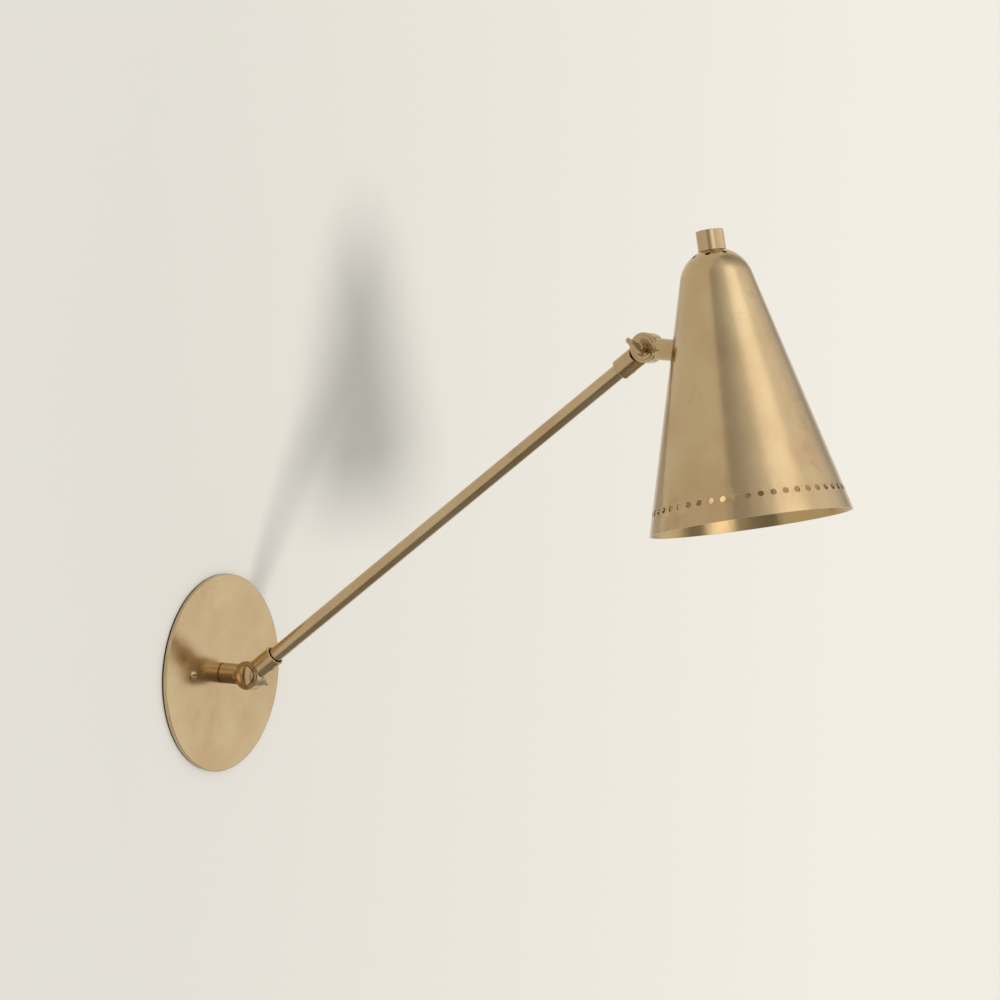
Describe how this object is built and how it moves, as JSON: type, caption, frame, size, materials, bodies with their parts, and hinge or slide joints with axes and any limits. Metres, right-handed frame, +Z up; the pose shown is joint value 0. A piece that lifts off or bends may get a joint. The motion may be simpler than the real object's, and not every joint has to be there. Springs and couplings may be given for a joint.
{
  "type": "articulating wall lamp",
  "caption": "Wall lamp with a round plate, a short swivelling stem, a straight arm between two clamped knuckles, and a perforated cone shade with a rotary switch.",
  "frame": {"origin": "on the wall, at the centre of the wall plate, midway between the two mounting screws", "axes": "+Y into the wall, +X to the right of someone facing the wall, +Z up"},
  "size_m": [0.127, 0.4598, 0.3542],
  "materials": {
    "black_plastic": "moulded phenolic",
    "black_rubber": "closed-cell gasket rubber",
    "clear_lead": "lamp lead insulation",
    "fibre": "vulcanised fibre",
    "green_steel": "green passivated steel",
    "raw_brass": "plain turned brass",
    "satin_brass": "satin burnished brass, unlacquered",
    "white_ceramic": "glazed white porcelain, given as matte plastic because the list has no ceramic",
    "zinc_steel": "zinc-plated steel"
  },
  "bodies": {
    "wall_mount": {"wall_gasket": "black_rubber", "backplate": "satin_brass", "mounting_screw_left": "satin_brass", "mounting_screw_right": "satin_brass", "ground_screw": "green_steel", "swivel_stop_pin": "zinc_steel"},
    "stem": {"stem": "satin_brass", "swivel_nipple": "zinc_steel", "swivel_stop_washer": "zinc_steel", "swivel_spring_washer": "zinc_steel", "swivel_locknut": "raw_brass", "supply_lead_live": "black_plastic", "supply_lead_neutral": "clear_lead", "lower_pivot_bolt": "satin_brass", "lower_friction_washer": "fibre", "lower_key_washer": "satin_brass"},
    "lower_key": {"lower_wing_key": "satin_brass"},
    "arm": {"lower_elbow": "satin_brass", "lower_elbow_set_screw": "raw_brass", "arm_tube": "satin_brass", "arm_cable": "clear_lead", "upper_elbow": "satin_brass", "upper_elbow_set_screw": "raw_brass", "upper_pivot_bolt": "satin_brass", "upper_friction_washer": "fibre", "upper_key_washer": "satin_brass"},
    "upper_key": {"upper_wing_key": "satin_brass"},
    "shade": {"shade_elbow": "satin_brass", "stub_washer": "raw_brass", "stub_nut": "raw_brass", "shade": "satin_brass", "shade_cable": "clear_lead", "switch_collar": "raw_brass", "switch_spacer": "raw_brass", "switch_body": "black_plastic", "holder_strap": "raw_brass", "lamp_holder": "white_ceramic", "lamp_holder_shell": "raw_brass", "centre_contact": "raw_brass", "holder_nipple": "zinc_steel", "holder_nut": "zinc_steel", "switch_lead_feed": "black_plastic", "switch_lead_return": "black_plastic"},
    "knob": {"switch_knob": "satin_brass", "switch_shaft": "raw_brass", "knob_set_screw": "zinc_steel"}
  },
  "joints": [
    {"name": "stem_swivel", "type": "hinge", "parent": "wall_mount", "child": "stem", "pos_m": [0, -0.0245, 0], "axis": [0, -1, 0], "range_deg": [-160, 160]},
    {"name": "lower_knuckle", "type": "hinge", "parent": "stem", "child": "arm", "pos_m": [0, -0.0245, 0], "axis": [-1, 0, 0], "range_deg": [-98, 47]},
    {"name": "lower_key_turn", "type": "hinge", "parent": "stem", "child": "lower_key", "pos_m": [0, -0.0245, 0], "axis": [1, 0, 0], "range_deg": [-180, 180]},
    {"name": "upper_knuckle", "type": "hinge", "parent": "arm", "child": "shade", "pos_m": [0, -0.30268, 0.2178], "axis": [-1, 0, 0], "range_deg": [-50, 110]},
    {"name": "upper_key_turn", "type": "hinge", "parent": "arm", "child": "upper_key", "pos_m": [0, -0.30268, 0.2178], "axis": [-1, 0, 0], "range_deg": [-180, 180]},
    {"name": "knob_turn", "type": "hinge", "parent": "shade", "child": "knob", "pos_m": [0, -0.34409, 0.27703], "axis": [0, 0.2055, 0.9786], "continuous": true}
  ]
}
